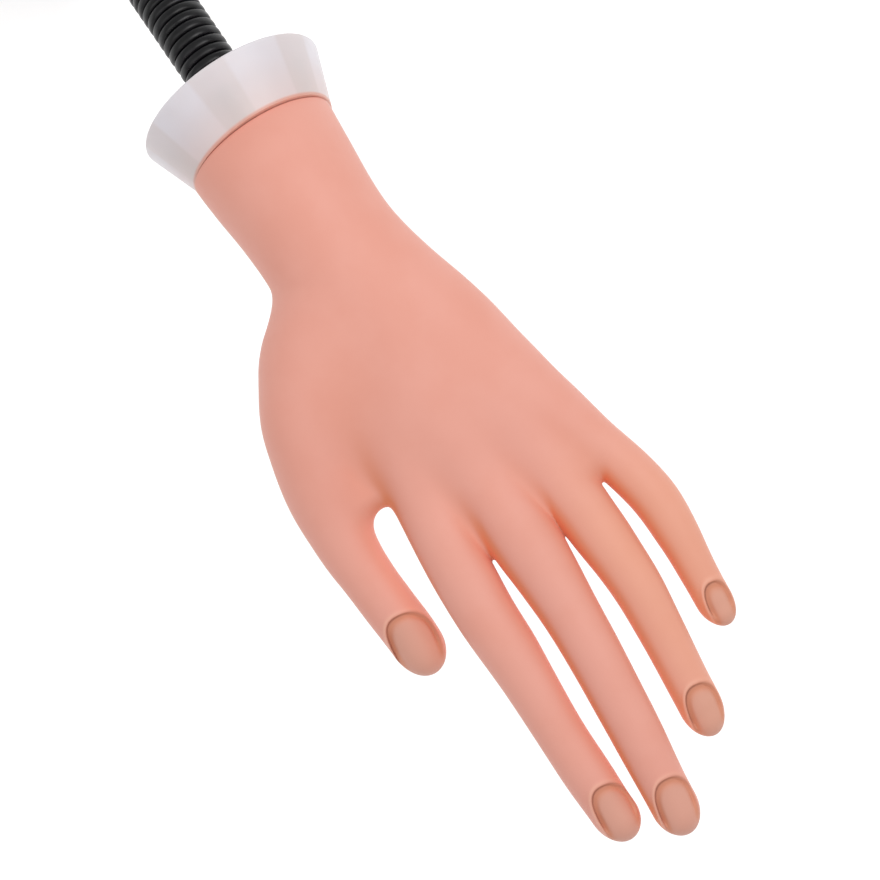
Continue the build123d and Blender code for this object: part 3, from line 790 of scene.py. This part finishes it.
def hose_pieces():
    """The hose in four pieces, each curved round one ball of the neck and meeting the next in a groove."""
    line, lengths, seams = neck_path()
    cuts = [0.0]
    for seam in seams:
        s = lengths[np.argmin(np.linalg.norm(line - seam, axis=1))]
        cuts.append(round(s / RIB_PITCH) * RIB_PITCH)
    cuts.append(lengths[-1])
    across = Vector((0, 1, 0))
    for i, (start, stop) in enumerate(zip(cuts, cuts[1:])):
        stations = np.arange(start, stop, RIB_PITCH / RINGS_PER_RIB)
        stations = np.r_[stations[stations < stop - 0.05], stop]
        mesh = bmesh.new()
        outer, inner = [], []
        for s in stations:
            centre = point_at(s, lengths, line)
            tangent = (point_at(s + 1, lengths, line) - point_at(s - 1, lengths, line)).normalized()
            side = tangent.cross(across)
            outer.append(ring(mesh, centre, across, side, rib_radius(s), HOSE_SIDES))
            inner.append(ring(mesh, centre, across, side, HOSE_BORE, HOSE_SIDES))
        skin_rings(mesh, outer + inner[::-1])
        piece = new_piece(f"neck_hose_bend_{i + 1}", mesh)
        shade(piece, 60)
        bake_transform(piece)
        nodes = [f"neck_hose_{i + 1}"] + (["neck_hose_5"] if i == 3 else [])
        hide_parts(*nodes)
        piece.data.materials.append(MATERIALS["hose"])


# ---------------------------------------------------------------- wrist plug

PLUG_RIBS = 6
PLUG_PHASE = radians(-3)
PLUG_WALL = 1.6
PLUG_EDGE_R, PLUG_RIM_R = 21.8, 27.4
RIM_ROUND = 0.5
HOSE_SOCKET_R, POST_SOCKET_R = 8.5, 4.1
HUB_R, HUB_NECK_R = 10.5, 7.0
SOCKET_FLOOR = -2.0
RIB_THICK, RIB_LOW = 4.0, -12.0  # RIB_LOW is the ribs' inner end, along the axis
PLUG_SIDES = 144


def add_rib(mesh, angle, outline):
    """Adds a flat rib beside the plug's axis; its outline is in (radius, along) millimetres."""
    ahead, across = Vector(-FOREARM), Vector((0, 1, 0))
    out = Vector(np.cross(FOREARM, across)) * cos(angle) + across * sin(angle)
    aside = ahead.cross(out) * RIB_THICK / 2
    faces = [[mesh.verts.new(Vector(WRIST) + (out * r + ahead * s + aside * side) * MM) for r, s in outline]
             for side in (-1, 1)]
    skin_rings(mesh, faces, closed=False)
    cap_ends(mesh, faces)


def wrist_plug():
    """The flared plug: a thin cone with a rounded rim, a closed end set into it, a hub and its ribs."""
    rim_r, s = PLUG_RIM_R - RIM_ROUND, PLUG_RIM_S - RIM_ROUND
    neck = [(r, along) for along, r in PLUG_NECK]
    shoulder = arc((PLUG_EDGE_R - 0.3, 0.4), 0.3, -90, -10, 4)
    rim = arc((rim_r, s), RIM_ROUND, -20, 160, 6)
    inner = [(rim_r - 1.6, s - 1.6), (rim_r - 3.0, s - 5.2)] + arc((11.0, s - 5.0), 0.8, -90, -180, 4)
    hub = [(10.2, s - 1.4)] + arc((9.6, s - 1.4), 0.6, 0, 90, 4)
    hose_socket = [(8.9, s - 0.8), (HOSE_SOCKET_R, s - 1.2), (HOSE_SOCKET_R, SOCKET_FLOOR)]
    tail, hub_step = PLUG_NECK[0][0], PLUG_NECK[1][0]
    post_socket = [(POST_SOCKET_R, SOCKET_FLOOR), (POST_SOCKET_R, tail), (HUB_NECK_R, tail)]
    outside = [(HUB_NECK_R, hub_step), (HUB_R, hub_step), (HUB_R, s - 6.8)]
    back = [(rim_r - 4.4, s - 6.8), (PLUG_EDGE_R - PLUG_WALL, 2.0)]
    back += [(r - PLUG_WALL, along) for along, r in reversed(PLUG_NECK)]
    profile = neck + shoulder + rim + inner + hub + hose_socket + post_socket + outside + back
    mesh = bmesh.new()
    turn(mesh, profile, WRIST, -FOREARM, PLUG_SIDES)
    foot = [(HUB_NECK_R - 1, RIB_LOW), (HUB_NECK_R - 1, hub_step + 1), (HUB_R - 1, hub_step + 1),
            (HUB_R - 1, s - 6.3)]
    top = [(rim_r - 2.8, s - 6.3), (PLUG_EDGE_R - PLUG_WALL / 2, 1.2)]
    top += [(r - PLUG_WALL / 2, along) for along, r in ((0.2, 18.5), (hub_step, 17.2), (RIB_LOW, 15.8))]
    for i in range(PLUG_RIBS):
        add_rib(mesh, PLUG_PHASE + 2 * pi * i / PLUG_RIBS, foot + top)
    piece = new_piece("wrist_plug_shell", mesh)
    shade(piece)
    return piece


# ---------------------------------------------------------------- materials

def srgb(r, g, b):
    """Linear colour from sRGB values out of 255."""
    return tuple(((c / 255 + 0.055) / 1.055) ** 2.4 if c > 10 else c / 255 / 12.92 for c in (r, g, b)) + (1,)


class Nodes:
    """A material's node tree, built a node at a time."""

    def __init__(self, name):
        self.material = bpy.data.materials.new(name)
        self.material.use_nodes = True
        self.tree = self.material.node_tree
        self.shader = self.tree.nodes["Principled BSDF"]
        self.output = self.tree.nodes["Material Output"]

    def add(self, kind, **inputs):
        node = self.tree.nodes.new(kind)
        for key, value in inputs.items():
            if key in node.inputs:
                self.set(node.inputs[key], value)
            else:
                setattr(node, key, value)
        return node

    def set(self, socket, value):
        if isinstance(value, bpy.types.NodeSocket):
            self.tree.links.new(value, socket)
        else:
            socket.default_value = value

    def noise(self, scale, detail=2.0, roughness=0.5):
        where = self.tree.nodes.new("ShaderNodeTexCoord").outputs["Object"]
        return self.add("ShaderNodeTexNoise", Vector=where, Scale=scale, Detail=detail,
                        Roughness=roughness).outputs["Fac"]

    def attribute(self, name):
        node = self.tree.nodes.new("ShaderNodeAttribute")
        node.attribute_name = name
        return node.outputs["Fac"]

    def mix(self, factor, a, b):
        node = self.tree.nodes.new("ShaderNodeMix")
        node.data_type = "RGBA"
        self.set(node.inputs["Factor"], factor)
        self.set(node.inputs[6], a)
        self.set(node.inputs[7], b)
        return node.outputs[2]

    def ramp(self, value, low, high, out_low=0.0, out_high=1.0):
        node = self.tree.nodes.new("ShaderNodeMapRange")
        node.interpolation_type = "SMOOTHSTEP"
        for key, v in (("Value", value), ("From Min", low), ("From Max", high), ("To Min", out_low),
                       ("To Max", out_high)):
            self.set(node.inputs[key], v)
        return node.outputs["Result"]

    def times(self, a, b):
        node = self.tree.nodes.new("ShaderNodeMath")
        node.operation = "MULTIPLY"
        self.set(node.inputs[0], a)
        self.set(node.inputs[1], b)
        return node.outputs[0]

    def bump(self, height, strength, distance):
        node = self.tree.nodes.new("ShaderNodeBump")
        self.set(node.inputs["Height"], height)
        node.inputs["Strength"].default_value = strength
        node.inputs["Distance"].default_value = distance
        self.set(self.shader.inputs["Normal"], node.outputs["Normal"])

    def finish(self, **values):
        for key, value in values.items():
            self.set(self.shader.inputs[key.replace("_", " ")], value)
        return self.material


KEY_DIRECTION = (-0.25, 0.8, 1.5)


def skin_material():
    """Matte vinyl. Light that soaks in comes out warmer; here that is painted into the colour as orange shade
    and glow in crevices, valleys, undersides and on sides turned from the key lamp, with a faint painted glow
    from emission, a painted shadow line and highlight round the nail beds and a painted pale sheen at the
    silhouettes.
    """
    m = Nodes("vinyl_skin")
    pink = m.mix(m.ramp(m.noise(55, 3), 0.35, 0.65), srgb(236, 166, 149), srgb(234, 162, 144))
    base = m.mix(m.times(m.attribute("peach"), 0.4), pink, srgb(240, 168, 130))
    normal = m.tree.nodes.new("ShaderNodeNewGeometry").outputs["Normal"]
    lit = m.add("ShaderNodeVectorMath", operation="DOT_PRODUCT")
    m.set(lit.inputs[0], normal)
    m.set(lit.inputs[1], Vector(KEY_DIRECTION).normalized())
    shaded = m.ramp(lit.outputs["Value"], 0.75, -0.1, 0.15, 1.0)
    enclosed = m.attribute("enclosed")
    # Painted shade in the valleys behind the knuckles, on sides turned from the key lamp.
    valley_shade = m.mix(m.times(m.attribute("valley_shade"), m.times(shaded, 0.7)), base, srgb(220, 130, 98))
    # Painted orange glow on sides turned from the key lamp, where the skin is a little enclosed.
    glow = m.mix(m.times(m.ramp(enclosed, 0.0, 0.3, 0.0, 0.8), shaded), valley_shade, srgb(228, 134, 86))
    # Painted deeper orange shade in crevices on sides turned from the key lamp.
    crevice_shade = m.mix(m.times(m.ramp(enclosed, 0.3, 0.85, 0.0, 0.6), shaded), glow, srgb(222, 104, 64))
    # Painted orange shade on sides and undersides that face down.
    under = m.mix(m.ramp(m.attribute("facing_up"), 0.4, -0.7, 0.0, 0.35), crevice_shade, srgb(226, 132, 98))
    bed = m.mix(m.times(m.attribute("nail"), 0.65), under, srgb(215, 160, 140))
    # Painted orange shade inside the nail beds' walls.
    wall = m.mix(m.times(m.attribute("nail_wall_shade"), 0.55), bed, srgb(214, 128, 88))
    # Painted dark shadow line along the nail beds' edges, strongest on their -y side.
    line = m.mix(m.times(m.attribute("nail_shadow_line"), 0.7), wall, srgb(140, 72, 50))
    # Painted highlight along the nail beds' lips.
    lip = m.mix(m.times(m.attribute("nail_lip_highlight"), 0.6), line, srgb(250, 190, 166))
    # Painted reflection: a pale pink-grey sheen at grazing angles along the silhouettes.
    facing = m.add("ShaderNodeLayerWeight", Blend=0.5).outputs["Facing"]
    edge = m.mix(m.ramp(facing, 0.75, 1.0, 0.0, 0.5), lip, srgb(222, 190, 184))
    m.bump(m.noise(2600, 2), 0.12, 0.00006)
    return m.finish(Base_Color=edge, Roughness=m.ramp(m.noise(900, 2), 0.3, 0.7, 0.5, 0.58),
                    Specular_IOR_Level=0.35, Sheen_Weight=0.12, Sheen_Roughness=0.45,
                    # The emission is a painted glow, a faint orange light from enclosed places on sides
                    # turned from the key lamp.
                    Emission_Color=srgb(234, 156, 122),
                    Emission_Strength=m.times(m.ramp(enclosed, 0.1, 0.8, 0.0, 0.13), shaded))


def hose_material():
    """Black rubber-like plastic with a satin gloss and a faint mottle of darker and lighter black."""
    m = Nodes("black_hose")
    colour = m.mix(m.ramp(m.noise(140, 4), 0.3, 0.75), srgb(5, 5, 7), srgb(14, 13, 17))
    m.bump(m.noise(1500, 3), 0.2, 0.0001)
    return m.finish(Base_Color=colour, Roughness=m.ramp(m.noise(300, 3), 0.3, 0.7, 0.26, 0.42),
                    Specular_IOR_Level=0.4)


def plug_material():
    """Milky plastic. Faint bands of painted shade run down its flank where the ribs inside touch the wall,
    and near the skin it gets painted pink bounce light and a painted orange glow at the seam.
    """
    m = Nodes("milky_plastic")
    cloud = m.ramp(m.noise(60, 2), 0.3, 0.7)
    colour = m.mix(cloud, srgb(224, 219, 225), srgb(221, 214, 218))
    # Painted pink bounce light from the skin, strongest at the skin's edge and gone 14 mm out.
    skin_bounce = m.ramp(m.attribute("along"), 14, 0, 0.0, 0.6)
    colour = m.mix(skin_bounce, colour, srgb(230, 204, 199))
    # Painted shade: darker bands where the ribs inside touch the wall.
    colour = m.mix(m.times(m.attribute("rib"), 0.4), colour, srgb(208, 194, 190))
    # Painted orange bounce glow at the seam, within about 1.2 mm of the skin's edge.
    seam = m.ramp(m.attribute("along"), 1.2, 0.4, 0.0, 0.7)
    colour = m.mix(seam, colour, srgb(226, 146, 118))
    m.bump(m.noise(700, 3), 0.08, 0.0001)
    return m.finish(Base_Color=colour, Roughness=m.ramp(m.noise(400, 2), 0.3, 0.7, 0.32, 0.42),
                    Specular_IOR_Level=0.45, Subsurface_Weight=0.35, Subsurface_Scale=0.004,
                    Subsurface_Radius=(1.0, 0.9, 0.9))


def simple_material(name, light, dark, scale, roughness, metallic=0.0, bump=0.1, depth=0.0001):
    """Mottled finish: colour, roughness and height all vary with noise."""
    m = Nodes(name)
    colour = m.mix(m.ramp(m.noise(scale, 4), 0.3, 0.7), srgb(*dark), srgb(*light))
    m.bump(m.noise(scale * 6, 3), bump, depth)
    return m.finish(Base_Color=colour, Metallic=metallic,
                    Roughness=m.ramp(m.noise(scale * 2, 3), 0.3, 0.7, roughness - 0.06, roughness + 0.08))


MATERIALS = {
    "flesh": skin_material(),
    "hose": hose_material(),
    "plug": plug_material(),
    "painted_frame": simple_material("powder_coat", (44, 44, 48), (32, 32, 35), 400, 0.45,
                                     bump=0.5, depth=0.0002),
    "rubber_pad": simple_material("black_rubber", (40, 40, 42), (26, 26, 28), 500, 0.8, bump=0.3),
    "steel": simple_material("zinc_steel", (204, 204, 207), (192, 193, 197), 60, 0.3,
                             metallic=1.0, bump=0.05),
    "cap_plastic": simple_material("cap_plastic", (38, 38, 40), (28, 28, 30), 500, 0.5),
    "neck_core": simple_material("core_plastic", (70, 70, 74), (54, 54, 58), 300, 0.45),
    "plastic_frame": simple_material("nylon", (226, 222, 212), (214, 208, 196), 200, 0.5),
}


# ---------------------------------------------------------------- assembly

def dress_cad_nodes():
    """Gives every CAD node the finish of its material slot."""
    for part in frame["record"]["subparts"]:
        data = frame["nodes"][part["node"]].data
        data.materials.clear()
        data.materials.append(MATERIALS[part["material_slot"]])


def build_skin():
    """The palm's skin and every digit's, all in vinyl."""
    pieces = [palm_skin()]
    for name in DIGITS:
        pieces += digit_skin(name)
    for piece in pieces:
        piece.data.materials.append(MATERIALS["flesh"])


def build_plug():
    """The plug, with its distance from the skin and its ribs marked for its material."""
    piece = wrist_plug()
    points = np.array([v.co for v in piece.data.vertices], dtype=float)
    away = points - WRIST
    along = away @ -FOREARM / MM
    side = np.cross(FOREARM, (0, 1, 0))
    angle = np.arctan2(away[:, 1], away @ side)
    wave = np.cos((angle - PLUG_PHASE) * PLUG_RIBS)
    add_marks(piece.data, {"along": along, "rib": step(0.1, 0.3, wave)})
    piece.data.materials.append(MATERIALS["plug"])
    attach(piece, "neck_5")
    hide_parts("wrist_plug")


dress_cad_nodes()
build_skin()
build_plug()
hose_pieces()
clamp_screw()


# ---------------------------------------------------------------- stage, light and camera

VIEW_WIDTH = 237.6  # millimetres across the picture at the hand's height
VIEW_CENTRE = (92.9, -0.6, 12.0)  # what the camera looks down on, in the hand's frame
VIEW_ROLL = 58.66  # degrees from the picture's right-hand direction down to the hand's +X
CAMERA_HEIGHT = 1.5
SENSOR_WIDTH = 36  # millimetres
LIGHT_TARGET = (100, 0, 10)  # in the hand's frame
FLOOR_HALF = 6
FLOOR_GAP = 0.004  # the floor lies this far under the clamp


def floor():
    """A pale floor that can't be seen from below, so that the underside stays in view."""
    mesh = bmesh.new()
    bmesh.ops.create_grid(mesh, x_segments=8, y_segments=8, size=FLOOR_HALF)
    piece = new_piece("floor", mesh)
    piece.location.z = CAD_BOX[0].z - FLOOR_GAP
    m = Nodes("pale_floor")
    colour = m.mix(m.ramp(m.noise(3, 2), 0.3, 0.7), srgb(244, 244, 244), srgb(248, 248, 248))
    piece.data.materials.append(m.finish(Base_Color=colour, Roughness=0.9, Specular_IOR_Level=0.1,
                                         Emission_Color=(1, 1, 1, 1), Emission_Strength=0.4))
    one_sided = m.tree.nodes.new("ShaderNodeMixShader")
    m.set(one_sided.inputs["Fac"], m.tree.nodes.new("ShaderNodeNewGeometry").outputs["Backfacing"])
    m.set(one_sided.inputs[1], m.shader.outputs[0])
    m.set(one_sided.inputs[2], m.tree.nodes.new("ShaderNodeBsdfTransparent").outputs[0])
    m.set(m.output.inputs["Surface"], one_sided.outputs[0])


def area_light(name, direction, distance, size, power):
    """A square lamp in a direction from the hand, facing it."""
    light = bpy.data.lights.new(name, "AREA")
    light.shape, light.size, light.energy = "SQUARE", size, power
    lamp = bpy.data.objects.new(name, light)
    bpy.context.collection.objects.link(lamp)
    direction = Vector(direction).normalized()
    lamp.location = Vector(to_row(LIGHT_TARGET)) + direction * distance
    lamp.rotation_mode = "QUATERNION"
    lamp.rotation_quaternion = direction.to_track_quat("Z", "Y")


def world(strength):
    """Even light from all round, which the camera itself sees as plain white."""
    scene_world = bpy.data.worlds.new("studio")
    scene_world.use_nodes = True
    tree = scene_world.node_tree
    background = tree.nodes["Background"]
    background.inputs["Color"].default_value = (1, 1, 1, 1)
    level = tree.nodes.new("ShaderNodeMapRange")
    level.inputs["To Min"].default_value = strength
    level.inputs["To Max"].default_value = 1.0
    tree.links.new(tree.nodes.new("ShaderNodeLightPath").outputs["Is Camera Ray"], level.inputs["Value"])
    tree.links.new(level.outputs["Result"], background.inputs["Strength"])
    bpy.context.scene.world = scene_world


def camera():
    """The photograph's view, straight down on the back of the hand."""
    data = bpy.data.cameras.new("camera")
    target = Vector(to_row(VIEW_CENTRE))
    data.sensor_width = SENSOR_WIDTH
    data.lens = SENSOR_WIDTH * CAMERA_HEIGHT / (VIEW_WIDTH * MM)
    data.clip_start, data.clip_end = 0.01, 20
    eye = bpy.data.objects.new("camera", data)
    bpy.context.collection.objects.link(eye)
    eye.rotation_euler = (0, 0, YAW + radians(VIEW_ROLL))
    eye.location = target + Vector((0, 0, CAMERA_HEIGHT))
    bpy.context.scene.camera = eye


floor()
world(0.5)
area_light("key", KEY_DIRECTION, distance=1.2, size=1.0, power=7.5)
area_light("fill", (-0.3, -0.9, 1.2), distance=1.4, size=1.2, power=3)
camera()
bpy.context.scene.view_settings.view_transform = "Standard"
